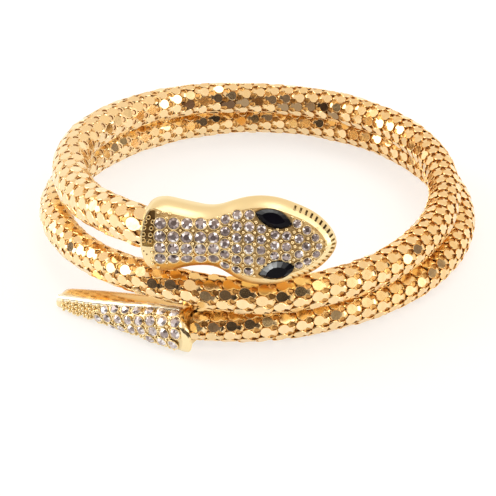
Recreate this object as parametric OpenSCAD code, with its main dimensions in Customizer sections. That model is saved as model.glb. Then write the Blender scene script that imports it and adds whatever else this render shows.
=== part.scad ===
// Snake coil bracelet: a round mesh strand wound twice round the wrist, a cast
// head on one end, a cast tail cap on the other, and two cut stones for eyes.
// Millimetres. The strand lies on the plane z = 0 with the coil axis upright,
// the head at the front (-y), and the wrist opening running along z.

/* [Mesh strand] */
// across the strand where it enters the head
neck_diameter = 7.4; // [6.4:0.1:8.4]
// across the strand from the back of the first turn onward
body_diameter = 6.4; // [5.6:0.1:7.2]
// across the strand where it enters the tail cap
tail_diameter = 6.2; // [5.4:0.1:7]
// air between the strand and the sockets it sits in
socket_gap = 0.15; // [0.1:0.05:0.4]

/* [Head] */
// how far the stone-set face leans back from upright
head_tilt = 18; // [0:1:35]
// how far the head is turned about the vertical
head_turn = -3; // [-10:1:10]
// slope of the smooth border, seen square to the face
border_snout = 1.5; // [0.8:0.1:2.2]
// the same beside the neck
border_neck = 1.6; // [0.4:0.1:2]
// height of that slope, square to the face
border_drop = 2; // [1:0.1:3]
// depth of the casting behind the face at the snout
depth_snout = 2.9; // [2.2:0.1:4]
// depth of the casting behind the face at the neck
depth_neck = 5.4; // [3:0.1:6.5]
// rise of the domed face above its own edge
dome_rise = 1.3; // [0.4:0.1:2.2]
// notches cut round the snout border
notch_count = 21; // [5:2:25]
// wall of the socket round the strand
socket_wall = 0.5; // [0.4:0.1:1]

/* [Eyes] */
// length and width of the upper pointed stone
upper_eye_size = [6.1, 2.8];
// length and width of the lower pointed stone
lower_eye_size = [5.8, 3.3];
// girdle to the flat top
eye_crown = 0.8; // [0.4:0.1:1.4]
// girdle to the bottom
eye_base = 0.7; // [0.4:0.1:1.2]
// distance of each stone from the middle line of the head
eye_offset = 4.2; // [3:0.1:5]

/* [Tail cap] */
// length from the collar to the tip
cap_length = 25.9; // [18:0.1:34]
// direction of the cap in plan, measured from the x axis
cap_heading = 26.4; // [10:0.2:45]
// height of the cap at the collar
cap_height = 7.1; // [6.8:0.1:9]
// width of the cap at the collar
cap_width = 9.8; // [7.6:0.1:12]

/* [Hidden] */
eps = 0.01;

// moves the whole part so that its bounding box is centred on the z axis
centre_shift = [0.2, -0.75, 0.03];

// Route of the strand, chosen by hand: azimuth in degrees from the front,
// clockwise seen from above, then radius and height of the strand's axis.
// It starts in the head's socket and ends in the tail cap.
route = [
    [27, 38.1, 20.8], [30, 37.8, 20.6], [45, 35.2, 18.4], [60, 33.8, 16.0],
    [75, 33.5, 14.1], [90, 34.2, 12.6], [105, 35.7, 11.6], [120, 37.1, 10.9],
    [150, 38.0, 10.0], [180, 36.9, 9.4], [210, 36.3, 9.4], [240, 35.3, 9.5],
    [270, 33.9, 9.5], [300, 33.9, 9.8], [330, 35.4, 9.9], [360, 37.2, 10.0],
    [380, 37.4, 10.5], [395, 36.8, 9.8], [420, 36.3, 7.6], [450, 37.4, 5.4],
    [480, 38.8, 3.7], [510, 40.0, 3.1], [540, 40.4, 3.1], [570, 39.7, 3.1],
    [600, 38.4, 3.1], [630, 37.0, 3.1], [660, 35.2, 3.1], [690, 34.0, 3.1],
    [715, 35.0, 3.2], [735, 36.8, 3.5], [742, 37.6, 3.55]];
route_rows = len(route);
route_start = route[0][0];
route_end = route[route_rows - 1][0];

strand_rings = 80;
strand_sides = 12;
// azimuths between which the neck thins to the body, and the body to the tail
neck_until = 90;
body_from = 180;
body_until = 690;
strand_step = (route_end - route_start) / (strand_rings - 1);
// inside the tail cap the strand's last stretch is squeezed smaller
crimp_from = route_end - strand_step;
crimp_diameter = 5.2;

function clamp(v, lo, hi) = min(max(v, lo), hi);
function mix(a, b, u) = a + (b - a) * clamp(u, 0, 1);
function unit(v) = v / norm(v);

// slope of column c at row i of a list of rows [x, ...]
function slope(rows, i, c) =
    let (a = max(i - 1, 0), b = min(i + 1, len(rows) - 1))
    (rows[b][c] - rows[a][c]) / (rows[b][0] - rows[a][0]);
function row_before(rows, x, i = 0) =
    i >= len(rows) - 2 || rows[i + 1][0] > x ? i : row_before(rows, x, i + 1);
// smooth curve through the rows: value of column c at x
function curve(rows, x, c) =
    let (i = row_before(rows, x), h = rows[i + 1][0] - rows[i][0],
         u = (x - rows[i][0]) / h, u2 = u * u, u3 = u2 * u)
    (2 * u3 - 3 * u2 + 1) * rows[i][c] + (u3 - 2 * u2 + u) * h * slope(rows, i, c)
    + (3 * u2 - 2 * u3) * rows[i + 1][c] + (u3 - u2) * h * slope(rows, i + 1, c);

function strand_at(a) =
    let (r = curve(route, a, 1))
    [-r * sin(a), -r * cos(a), curve(route, a, 2)] + centre_shift;
function strand_radius(a) =
    (a < body_from ? mix(neck_diameter, body_diameter,
                         (a - neck_until) / (body_from - neck_until))
     : a < crimp_from ? mix(body_diameter, tail_diameter,
                            (a - body_until) / (crimp_from - body_until))
     : mix(tail_diameter, crimp_diameter,
           (a - crimp_from) / (route_end - crimp_from))) / 2;
function strand_heading(a) = unit(strand_at(a + 0.5) - strand_at(a - 0.5));

// ring of points round the strand at azimuth a, a flat facing down
function strand_ring(a, grow) =
    let (t = strand_heading(a), side = unit(cross(t, [0, 0, 1])), up = cross(side, t),
         r = strand_radius(a) + grow)
    [for (k = [0:strand_sides - 1])
        let (w = (k + 0.5) * 360 / strand_sides)
        strand_at(a) + r * (cos(w) * side + sin(w) * up)];

// solid through equal rings of points, closed by a flat at each end
module skin(rings) {
    n = len(rings[0]);
    m = len(rings);
    polyhedron(
        points = [for (r = rings) for (p = r) p],
        faces = concat(
            [[for (k = [n - 1:-1:0]) k]],
            [for (j = [0:m - 2]) for (k = [0:n - 1])
                let (l = (k + 1) % n)
                each [[j * n + k, (j + 1) * n + l, (j + 1) * n + k],
                      [j * n + k, j * n + l, (j + 1) * n + l]]],
            [[for (k = [0:n - 1]) (m - 1) * n + k]]),
        convexity = 10);
}

module strand_through(azimuths, grow) {
    skin([for (a = azimuths) strand_ring(a, grow)]);
}

// Head. Its own axes: x from the neck to the snout, y up the face, z outward.
head_at = [2.1, -39.2, 21.2] + centre_shift;
// back outline, from the middle of the neck end to the snout: distance along
// the head, then height above and depth below the middle line
head_half = [
    [-21.6, 0, 0], [-21.4, 1.8, 1.6], [-20.95, 3.7, 3.2], [-20.2, 5.3, 4.5],
    [-19, 6.1, 5.2], [-17.4, 6.3, 5.4], [-15.5, 5.95, 5.0], [-13.5, 5.55, 4.5],
    [-11.5, 5.3, 4.3], [-9.8, 5.35, 4.4], [-8.2, 5.75, 5.0], [-6.5, 6.45, 6.0],
    [-4.5, 7.05, 6.9], [-2.2, 7.3, 7.25], [0, 7.15, 7.15], [1.7, 6.75, 6.75],
    [3.4, 6.15, 6.15], [5.25, 5.4, 5.4], [6.95, 4.4, 4.4], [8.4, 3.1, 3.1],
    [9.5, 1.6, 1.6], [10, 0, 0]];
// places of the border's rings from its outer to its inner edge, as shares of
// its width, and how round it is: 1 is a flat slope
border_steps = [0, 0.2, 0.5, 1];
border_curve = 1.7;
// sizes of the rings that build the dome, as shares of the face outline
dome_steps = [0.9, 0.75, 0.55, 0.32, 0.1];
// how much of that shrinking happens along the head, and about which point
dome_along = 0.32;
dome_middle = -6;
back_edge = 0.4;
// stretch over which the neck's border changes to the snout's, and the stretch
// at the neck's end where the border widens from a thin rim
neck_x = -13;
snout_x = -6;
rim_border = 0.3;
rim_from = -20.4;
rim_until = -17.6;

// closed loop of [x, y] points, along the upper side and back by the lower
function loop_of(half) = concat([for (p = half) [p[0], p[1]]],
    [for (i = [len(half) - 2:-1:1]) [half[i][0], -half[i][2]]]);
function between4(a, b, c, d, u) =
    b + 0.5 * u * (c - a + u * (2 * a - 5 * b + 4 * c - d + u * (3 * (b - c) + d - a)));
// closed loop through the points with one point added between each two
function refined(loop) =
    let (n = len(loop))
    [for (i = [0:n - 1]) each [loop[i],
        between4(loop[(i + n - 1) % n], loop[i], loop[(i + 1) % n], loop[(i + 2) % n], 0.5)]];
head_loop = refined(loop_of(head_half));
head_points = len(head_loop);
function inward(i) =
    let (n = head_points, d = head_loop[(i + 1) % n] - head_loop[(i + n - 1) % n])
    unit([d[1], -d[0]]);
function along(x, at_neck, at_snout) = mix(at_neck, at_snout, (x - neck_x) / (snout_x - neck_x));
function border(x) = x < rim_until ? mix(rim_border, border_neck, (x - rim_from) / (rim_until - rim_from))
    : along(x, border_neck, border_snout);
function inset_point(i, d) = head_loop[i] + d * inward(i);
function border_point(i, share) = inset_point(i, share * border(head_loop[i][0]));
function dome_height(g) = dome_rise * (1 - pow(g, 2.2));
function back_ring(d, up) = [for (i = [0:head_points - 1])
    let (p = inset_point(i, d))
    [p[0], p[1], up - along(head_loop[i][0], depth_neck, depth_snout)]];
function border_ring(share) = [for (i = [0:head_points - 1])
    let (p = border_point(i, share))
    [p[0], p[1], -border_drop * pow(1 - share, border_curve)]];
function dome_ring(g) = [for (i = [0:head_points - 1])
    let (p = border_point(i, 1))
    [dome_middle + (p[0] - dome_middle) * (1 - dome_along * (1 - g)), p[1] * g, dome_height(g)]];
head_rings = concat(
    [back_ring(back_edge, 0), back_ring(0, back_edge)],
    [for (share = border_steps) border_ring(share)],
    [for (g = dome_steps) dome_ring(g)]);

// like skin(), for rings that run out above and back below; the ends are closed
// by strips between the points above and those below
module split_skin(rings) {
    n = len(rings[0]);
    m = len(rings);
    h = n / 2;
    function strip(base) = [for (k = [0:h - 1])
        let (a = k, b = k + 1, c = n - k - 1, d = (n - k) % n)
        k == 0 ? [base + a, base + b, base + c]
        : k == h - 1 ? [base + a, base + b, base + d]
        : [base + a, base + b, base + c, base + d]];
    polyhedron(
        points = [for (r = rings) for (p = r) p],
        faces = concat(
            [for (f = strip(0)) [for (k = [len(f) - 1:-1:0]) f[k]]],
            [for (j = [0:m - 2]) for (k = [0:n - 1])
                let (l = (k + 1) % n)
                each [[j * n + k, (j + 1) * n + l, (j + 1) * n + k],
                      [j * n + k, j * n + l, (j + 1) * n + l]]],
            strip((m - 1) * n)),
        convexity = 10);
}

module place_head() {
    translate(head_at) rotate([0, 0, head_turn]) rotate([90 - head_tilt, 0, 0]) children();
}

// the neck socket, in degrees along the route, trimmed to the head's outline
socket_reach = [25.5:1.5:33];
socket_deep = 12;
socket_trim = 0.06;
head_bore = [route_start - 0.5, route_start + strand_step, route_start + 2 * strand_step];

// the channel behind the neck rim, where rows of small rings sit
rim_width = 0.25;
channel_until = -18.9;
channel_floor = -0.6;
channel_low = -0.9;

module neck_channel() {
    translate([0, 0, channel_floor]) linear_extrude(4)
        intersection() {
            offset(delta = -rim_width) polygon([for (i = [0:head_points - 1]) border_point(i, 1)]);
            translate([channel_until - 10, channel_low]) square([10, 12]);
        }
}

// notches in the border, one at each point of the outline round the snout; each
// starts at this share of the border's width and runs up its slope
notch_from = 0.12;
notch_width = 0.36;
notch_length = 1.25;
notch_depth = 0.45;
notch_drop = border_drop * pow(1 - notch_from, border_curve);
notch_slope = atan2(notch_drop, border_snout * (1 - notch_from));

module notches() {
    tip = head_points / 2;
    side = floor(notch_count / 2);
    for (i = [tip - side:tip + side]) {
        p = border_point(i, notch_from);
        d = inward(i);
        translate([p[0], p[1], -notch_drop])
            rotate([0, 0, atan2(d[1], d[0])]) rotate([0, -notch_slope, 0])
                translate([0, -notch_width / 2, -notch_depth])
                    cube([notch_length, notch_width, 2]);
    }
}

// Eyes. Pointed ovals, turned a little so that they close toward the snout,
// each lying on the slope of the dome.
eye_turn = 16;
eye_lean = 17;
eye_lift = 0.55;
// distance of each eye's middle along the head and up from its middle line
upper_eye_at = [-0.1, eye_offset];
lower_eye_at = [0.6, -eye_offset];
seat_gap = 0.15;
table_share = 0.62;
foot_share = 0.45;
girdle = 0.2;

module pointed_oval(length, width) {
    r = (length * length + width * width) / (4 * width);
    intersection() {
        translate([0, width / 2 - r]) circle(r, $fn = 96);
        translate([0, r - width / 2]) circle(r, $fn = 96);
    }
}
module place_eye(side) {
    at = side > 0 ? upper_eye_at : lower_eye_at;
    place_head() translate([at[0], at[1], eye_lift])
        rotate([-side * eye_lean, 0, 0]) rotate([0, 0, -side * eye_turn]) children();
}
function eye_size(side) = side > 0 ? upper_eye_size : lower_eye_size;
module eye_stone(side) {
    size = eye_size(side);
    place_eye(side) hull() {
        translate([0, 0, -eye_base]) linear_extrude(eps)
            pointed_oval(size[0] * foot_share, size[1] * foot_share);
        translate([0, 0, -girdle / 2]) linear_extrude(girdle)
            pointed_oval(size[0], size[1]);
        translate([0, 0, eye_crown - eps]) linear_extrude(eps)
            pointed_oval(size[0] * table_share, size[1] * table_share);
    }
}
module eye_seat(side) {
    size = eye_size(side);
    place_eye(side) translate([0, 0, -eye_base - seat_gap]) linear_extrude(5)
        pointed_oval(size[0] + 3 * seat_gap, size[1] + 2 * seat_gap);
}

module head() {
    color("gold") difference() {
        union() {
            place_head() split_skin(head_rings);
            intersection() {
                strand_through(socket_reach, socket_gap + socket_wall);
                place_head() translate([0, 0, -socket_deep]) linear_extrude(socket_deep - border_drop)
                    offset(delta = -socket_trim) polygon(head_loop);
            }
        }
        strand_through(head_bore, socket_gap);
        place_head() neck_channel();
        place_head() notches();
        eye_seat(1);
        eye_seat(-1);
    }
}

// Tail cap. Its own axes: x from the collar to the tip, y toward the outside
// of the coil, z up. Rows: distance along it as a share of its length, then the
// shares of half width and half height there, and how far its middle is moved
// toward the inside of the coil.
cap_at = [-11.5, -36.15, 0] + centre_shift;
cap_rows = [
    [-0.015, 0.95, 0.95, 0], [0, 0.99, 0.99, 0], [0.012, 1, 1, 0], [0.035, 0.99, 0.985, 0],
    [0.047, 0.96, 0.96, 0], [0.25, 0.86, 0.87, 0.1], [0.4, 0.75, 0.76, 0.25],
    [0.55, 0.66, 0.66, 0.4], [0.7, 0.58, 0.56, 0.5], [0.85, 0.51, 0.45, 0.55],
    [0.94, 0.46, 0.38, 0.6], [0.975, 0.42, 0.34, 0.6], [0.993, 0.34, 0.27, 0.6],
    [1, 0.2, 0.16, 0.6]];
cap_sides = 28;
// boxiness of the section: 2 is an ellipse
cap_power = 2.8;
cap_floor = 0.02;
// how far the collar reaches out over the strand at mid height, and the share
// of the length by which that has faded out
cap_lip = 2.4;
lip_until = 0.3;

function rounded_box(w) = [sign(cos(w)) * pow(abs(cos(w)), 2 / cap_power),
                           sign(sin(w)) * pow(abs(sin(w)), 2 / cap_power)];
cap_rings = [for (row = cap_rows) [for (k = [0:cap_sides - 1])
    let (q = rounded_box(-k * 360 / cap_sides), hw = row[1] * cap_width / 2,
         hh = row[2] * cap_height / 2,
         lip = cap_lip * (1 - q[1] * q[1]) * clamp(1 - row[0] / lip_until, 0, 1))
    [row[0] * cap_length - lip, q[0] * hw - row[3], cap_floor + hh + q[1] * hh]]];
cap_bore = [route_end - 3 * strand_step, route_end - 2 * strand_step, route_end - strand_step,
            route_end + 0.9];

module tail_cap() {
    color("gold") difference() {
        translate(cap_at) rotate([0, 0, 180 - cap_heading]) skin(cap_rings);
        strand_through(cap_bore, socket_gap);
    }
}

module mesh_strand() {
    color("goldenrod") strand_through([for (i = [0:strand_rings - 1]) route_start + i * strand_step], 0);
}
module upper_eye_stone() { color("black") eye_stone(1); }
module lower_eye_stone() { color("black") eye_stone(-1); }

mesh_strand();
head();
upper_eye_stone();
lower_eye_stone();
tail_cap();
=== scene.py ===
# %% [markdown]
# # A coiled mesh chain bracelet
# The bracelet is a springy rope of small gold scales, wound about two turns, with a cast serpent's head
# on one end and a cast tail on the other. The CAD model gives every piece its place. This script loads
# it as a fixed frame and then makes the visible pieces round it, all in the same metres and axes.

# %% Load the frame
import bisect
import math
import random

import bmesh
import bpy
from bmesh.types import BMEdge, BMVert
from mathutils import Matrix, Vector
from mathutils.bvhtree import BVHTree


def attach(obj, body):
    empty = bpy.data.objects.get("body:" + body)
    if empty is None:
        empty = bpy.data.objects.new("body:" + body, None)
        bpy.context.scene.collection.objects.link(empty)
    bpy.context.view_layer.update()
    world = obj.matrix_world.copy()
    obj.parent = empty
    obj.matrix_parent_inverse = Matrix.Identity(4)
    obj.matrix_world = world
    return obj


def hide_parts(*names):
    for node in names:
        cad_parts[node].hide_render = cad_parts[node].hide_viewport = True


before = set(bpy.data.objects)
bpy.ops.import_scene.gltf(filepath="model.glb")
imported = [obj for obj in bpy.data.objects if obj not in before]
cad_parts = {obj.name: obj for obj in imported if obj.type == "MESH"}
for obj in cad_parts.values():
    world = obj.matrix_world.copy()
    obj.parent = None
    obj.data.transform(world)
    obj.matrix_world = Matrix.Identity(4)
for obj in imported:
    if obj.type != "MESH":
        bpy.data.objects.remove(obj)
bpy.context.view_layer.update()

MM = 0.001

# %% [markdown]
# ## The camera
# The camera's angle, distance and lens were fitted to the photograph. It looks down at 31.5 degrees from
# the front. A target a little left of the middle and low down frames the coil as the photograph does.

# %% Camera
CENTRE_SHIFT = Vector((0.2, -0.75, 0.03)) * MM
TARGET = Vector((-1.99, -4.5, -0.84)) * MM + CENTRE_SHIFT
CAMERA_TILT = math.radians(31.5)
CAMERA_DISTANCE = 300 * MM
LENS_MM = 118.34

toward_camera = Vector((0, -math.cos(CAMERA_TILT), math.sin(CAMERA_TILT)))
camera_data = bpy.data.cameras.new("camera")
camera_data.lens = LENS_MM
camera_data.sensor_width = 36
camera_data.clip_start = 0.01
camera = bpy.data.objects.new("camera", camera_data)
camera.location = TARGET + CAMERA_DISTANCE * toward_camera
camera.rotation_mode = "QUATERNION"
camera.rotation_quaternion = (-toward_camera).to_track_quat("-Z", "Y")
bpy.context.collection.objects.link(camera)
bpy.context.scene.camera = camera
print("camera at", [round(v, 4) for v in camera.location])

# %% [markdown]
# ## Sums on sockets
# A material is a net of nodes. Writing it node by node hides the idea, so a small class wraps a socket
# and lets plain sums, such as `1 - mask`, add the Math nodes. One method adds every other node.

# %% Sums
class Wire:
    """An output socket. A sum on it adds a Math node."""

    def __init__(self, net, socket):
        self.net = net
        self.socket = socket

    def _sum(self, operation, first, second):
        return self.net.add("ShaderNodeMath", {"operation": operation}, {0: first, 1: second})

    def __add__(self, other):
        return self._sum("ADD", self, other)

    def __radd__(self, other):
        return self._sum("ADD", other, self)

    def __sub__(self, other):
        return self._sum("SUBTRACT", self, other)

    def __rsub__(self, other):
        return self._sum("SUBTRACT", other, self)

    def __mul__(self, other):
        return self._sum("MULTIPLY", self, other)

    def __rmul__(self, other):
        return self._sum("MULTIPLY", other, self)


print("sums ready")

# %% Nets and finishes
class Net:
    """The node net of a material or of the world."""

    def __init__(self, owner):
        owner.use_nodes = True
        self.tree = owner.node_tree
        self.owner = owner

    def add(self, kind, settings=None, inputs=None, output=0):
        node = self.tree.nodes.new(kind)
        for name, value in (settings or {}).items():
            if name == "stops":
                ramp = node.color_ramp
                while len(ramp.elements) < len(value):
                    ramp.elements.new(0.5)
                for element, (place, colour) in zip(ramp.elements, value):
                    element.position = place
                    element.color = colour
            else:
                setattr(node, name, value)
        for key, value in (inputs or {}).items():
            self.feed(node.inputs[key], value)
        return Wire(self, node.outputs[output])

    def feed(self, socket, value):
        if isinstance(value, Wire):
            self.tree.links.new(value.socket, socket)
        else:
            socket.default_value = value

    def blend(self, share, first, second):
        return self.add("ShaderNodeMix", {"data_type": "RGBA"}, {0: share, 6: first, 7: second}, 2)

    def step(self, value, low, high):
        return self.add("ShaderNodeMapRange", {"interpolation_type": "SMOOTHSTEP"},
                        {"Value": value, "From Min": low, "From Max": high})

    def dot(self, first, second):
        return self.add("ShaderNodeVectorMath", {"operation": "DOT_PRODUCT"}, {0: first, 1: second}, 1)

    def ramp(self, value, stops):
        return self.add("ShaderNodeValToRGB", {"stops": stops}, {0: value})


class Finish(Net):
    """A material, whose patterns follow the place on the piece or numbers that its mesh carries."""

    def __init__(self, name):
        super().__init__(bpy.data.materials.new(name))
        self.shader = self.tree.nodes["Principled BSDF"]

    def place(self):
        return self.add("ShaderNodeTexCoord", output="Object")

    def noise(self, scale, detail):
        return self.add("ShaderNodeTexNoise", {},
                        {"Vector": self.place(), "Scale": float(scale), "Detail": float(detail)})

    def number(self, name):
        return self.add("ShaderNodeAttribute", {"attribute_name": name}, output="Fac")

    def bump(self, height, strength):
        return self.add("ShaderNodeBump", {}, {"Height": height, "Strength": strength, "Distance": 0.0002})

    def shade(self, values):
        for name, value in values.items():
            self.feed(self.shader.inputs[name], value)


def colour(red, green, blue):
    return (red, green, blue, 1)


print("finishes ready")

# %% [markdown]
# ## The studio
# Polished gold shows what is round it more than its own colour. The photograph was taken in a white tent
# with dark gaps, where the camera looks in, and bright lamps beside it. That is why some scales are nearly
# black, some burn out white, and the rest are an even peach. The world shader paints that tent by
# direction, so that every view of the model sees the same room. Each lamp and gap below is an azimuth from
# the camera, an elevation and a radius, all in degrees.

# %% World
ROOM = colour(1.13, 1.09, 0.99)
ROOM_TOP = colour(0.95, 0.83, 0.70)
ROOM_SIDE = colour(0.99, 0.85, 0.67)
TOP_BY = 0.5
SIDE_AT, SIDE_CORE, SIDE_REACH, SIDE_ABOVE = (110, 5), 30, 75, (0.06, 0.2)
GAP_DARK = colour(0.022, 0.018, 0.018)
GAP_GREY = colour(0.24, 0.19, 0.17)
GAP_CLUTTER = 7.0
GREY_SHARE = (0.44, 0.58)
LAMP = colour(3.2, 3.15, 3.1)
SPOT_EDGE = 5
LAMPS = ((54, 46, 7), (75, 15, 11), (88, -22, 9), (-105, 14, 16), (-124, 14, 6), (-90, 27, 14),
         (-108, 38, 9), (30, 58, 6), (105, 79, 7))
GAPS = ((34, 28, 13), (8, 32, 18), (-16, 22, 20), (-44, 20, 17), (-66, 6, 13), (20, 6, 9),
        (102, 22, 8), (-134, -5, 6), (-117, 3, 5), (-72, -8, 6))

room = Net(bpy.data.worlds.new("tent"))
bpy.context.scene.world = room.owner
direction = room.add("ShaderNodeTexCoord", output=0)


def spot(azimuth, elevation, core, reach):
    """1 within that many degrees of a direction, falling to 0 at the reach; azimuth 0 is the camera's."""
    a, e = math.radians(azimuth), math.radians(elevation)
    aim = (math.sin(a) * math.cos(e), -math.cos(a) * math.cos(e), math.sin(e))
    return room.step(room.dot(direction, aim), math.cos(math.radians(reach)), math.cos(math.radians(core)))


height = room.add("ShaderNodeSeparateXYZ", inputs={0: direction}, output=2)
sky = room.blend(room.step(height, 0.0, TOP_BY), ROOM, ROOM_TOP)
side = spot(*SIDE_AT, SIDE_CORE, SIDE_REACH) * room.step(height, *SIDE_ABOVE)
sky = room.blend(side, sky, ROOM_SIDE)
clutter = room.add("ShaderNodeTexNoise", {}, {"Vector": direction, "Scale": GAP_CLUTTER, "Detail": 2.0})
gap = room.blend(room.step(clutter, *GREY_SHARE), GAP_DARK, GAP_GREY)
for spots, light in ((LAMPS, LAMP), (GAPS, gap)):
    for azimuth, elevation, radius in spots:
        sky = room.blend(spot(azimuth, elevation, radius, radius + SPOT_EDGE), sky, light)
background = room.tree.nodes["Background"]
room.feed(background.inputs["Color"], sky)
background.inputs["Strength"].default_value = 1.0
bpy.context.scene.view_settings.view_transform = "Standard"
print("world nodes:", len(room.tree.nodes))

# %% [markdown]
# ## The table
# The bracelet lies on white paper that runs out of the picture on all sides. The paper glows a little, as
# it does in a light tent, so that it comes out white and the shadow on it stays faint. The floor isn't a
# piece of the bracelet, so it isn't attached to the bracelet's body. Operators shape a bmesh, and the mesh
# is made from it.

# %% Floor
FLOOR_SIZE = 1.6


def as_mesh(name, bm):
    mesh = bpy.data.meshes.new(name)
    bm.to_mesh(mesh)
    bm.free()
    return mesh


bm = bmesh.new()
bmesh.ops.create_grid(bm, x_segments=1, y_segments=1, size=FLOOR_SIZE)
floor = bpy.data.objects.new("floor", as_mesh("floor", bm))
bpy.context.collection.objects.link(floor)
paper = Finish("white_paper")
paper.shade({"Base Color": colour(0.42, 0.415, 0.41), "Roughness": 0.7, "Specular IOR Level": 0.2,
             "Emission Color": colour(1, 0.99, 0.98), "Emission Strength": 0.65})
floor.data.materials.append(paper.owner)
print("floor of", 2 * FLOOR_SIZE, "m")

# %% [markdown]
# ## The route of the rope
# The rope springs back to its coil and hides part of it in the photograph, so its route was chosen:
# azimuth from the front, radius and height at a few places. The CAD model uses the same list, and a smooth
# curve runs through its rows. The head's own axes are x along the face, y across it and z out of it.

# %% Route
ROUTE = [
    (27, 38.1, 20.8), (30, 37.8, 20.6), (45, 35.2, 18.4), (60, 33.8, 16.0),
    (75, 33.5, 14.1), (90, 34.2, 12.6), (105, 35.7, 11.6), (120, 37.1, 10.9),
    (150, 38.0, 10.0), (180, 36.9, 9.4), (210, 36.3, 9.4), (240, 35.3, 9.5),
    (270, 33.9, 9.5), (300, 33.9, 9.8), (330, 35.4, 9.9), (360, 37.2, 10.0),
    (380, 37.4, 10.5), (395, 36.8, 9.8), (420, 36.3, 7.6), (450, 37.4, 5.4),
    (480, 38.8, 3.7), (510, 40.0, 3.1), (540, 40.4, 3.1), (570, 39.7, 3.1),
    (600, 38.4, 3.1), (630, 37.0, 3.1), (660, 35.2, 3.1), (690, 34.0, 3.1),
    (715, 35.0, 3.2), (735, 36.8, 3.5), (742, 37.6, 3.55)]
ROUTE_START, ROUTE_END = ROUTE[0][0], ROUTE[-1][0]


def slope(i, column):
    a, b = max(i - 1, 0), min(i + 1, len(ROUTE) - 1)
    return (ROUTE[b][column] - ROUTE[a][column]) / (ROUTE[b][0] - ROUTE[a][0])


def curve_value(azimuth, column):
    i = max([k for k in range(len(ROUTE) - 1) if ROUTE[k][0] <= azimuth] or [0])
    h = ROUTE[i + 1][0] - ROUTE[i][0]
    u = (azimuth - ROUTE[i][0]) / h
    return ((2 * u ** 3 - 3 * u ** 2 + 1) * ROUTE[i][column]
            + (u ** 3 - 2 * u ** 2 + u) * h * slope(i, column)
            + (3 * u ** 2 - 2 * u ** 3) * ROUTE[i + 1][column]
            + (u ** 3 - u ** 2) * h * slope(i + 1, column))


def rope_centre(azimuth):
    a, r = math.radians(azimuth), curve_value(azimuth, 1)
    return Vector((-r * math.sin(a), -r * math.cos(a), curve_value(azimuth, 2))) * MM + CENTRE_SHIFT


print("the rope starts at", [round(v / MM, 1) for v in rope_centre(ROUTE_START)], "mm")

# %% Thickness and axes of the rope
NECK_RADIUS, BODY_RADIUS, TAIL_RADIUS = 3.7, 3.2, 3.1
NECK_UNTIL, BODY_FROM, BODY_UNTIL = 90, 180, 690


def mix(a, b, share):
    return a + (b - a) * min(max(share, 0), 1)


def rope_radius(azimuth):
    if azimuth < BODY_FROM:
        return MM * mix(NECK_RADIUS, BODY_RADIUS, (azimuth - NECK_UNTIL) / (BODY_FROM - NECK_UNTIL))
    return MM * mix(BODY_RADIUS, TAIL_RADIUS, (azimuth - BODY_UNTIL) / (ROUTE_END - BODY_UNTIL))


def rope_axes(azimuth):
    """Along the rope toward the tail, then the two directions across it: inward and up."""
    along = (rope_centre(azimuth + 0.5) - rope_centre(azimuth - 0.5)).normalized()
    inward = along.cross(Vector((0, 0, 1))).normalized()
    return along, inward, inward.cross(along)


HEAD_PLACE = (Matrix.Translation(Vector((2.1, -39.2, 21.2)) * MM + CENTRE_SHIFT)
              @ Matrix.Rotation(math.radians(-3), 4, "Z") @ Matrix.Rotation(math.radians(90 - 18), 4, "X"))
STEP = 0.25
azimuths = [ROUTE_START + STEP * k for k in range(int((ROUTE_END - ROUTE_START) / STEP) + 1)]
centres = [rope_centre(a) for a in azimuths]
rope_length = sum((q - p).length for p, q in zip(centres, centres[1:]))
print("rope length in mm:", round(rope_length / MM))

# %% [markdown]
# ## One scale
# Each link of the mesh is a small pressed plate: a round flat lobe that shows, and a narrow tongue that
# dives under the lobe before it. A circle makes the lobe, and its back edges are extruded step by step to
# make the tongue. Then the sheet gets a thickness and the lobe a rounded rim, which catches a thin bright
# line. How far a point lies below the top is kept, because the low edges get painted shade and a painted
# reflection of the orange plate round them.

# %% Scale template
LOBE = 0.96 * MM
LOBE_LONGER = 1.05
PITCH = 2.95 * MM
SHEET = 0.17 * MM
RIM = 0.10 * MM
LOBE_SIDES = 14
BACK_SHARE = 0.85
# distance behind the lobe's middle, drop and half width of each step of the tongue, in millimetres
TONGUE = ((-1.06, 0.0, 0.46), (-1.36, -0.01, 0.50), (-1.84, -0.12, 0.62), (-2.50, -0.44, 0.50))
LOBE_BEND = 9 * MM
EDGE_DEPTH = 0.12 * MM
NEAR_TOP = 0.02 * MM
SHARP = math.radians(20)


def of_kind(kind, geom):
    return [g for g in geom if isinstance(g, kind)]


def smooth_all(bm):
    for f in bm.faces:
        f.smooth = True


def grow_tongue(bm, edges):
    for back, down, half_width in TONGUE:
        grown = bmesh.ops.extrude_edge_only(bm, edges=edges)["geom"]
        verts, edges = of_kind(BMVert, grown), of_kind(BMEdge, grown)
        widest = max(v.co.y for v in verts)
        for v in verts:
            v.co = Vector((back * MM, v.co.y * half_width * MM / widest, down * MM))


def is_rim(edge):
    rises = [f.normal.z for f in edge.link_faces]
    return len(rises) == 2 and min(rises) < 0.5 < max(rises) and all(v.co.z > -NEAR_TOP for v in edge.verts)


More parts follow.
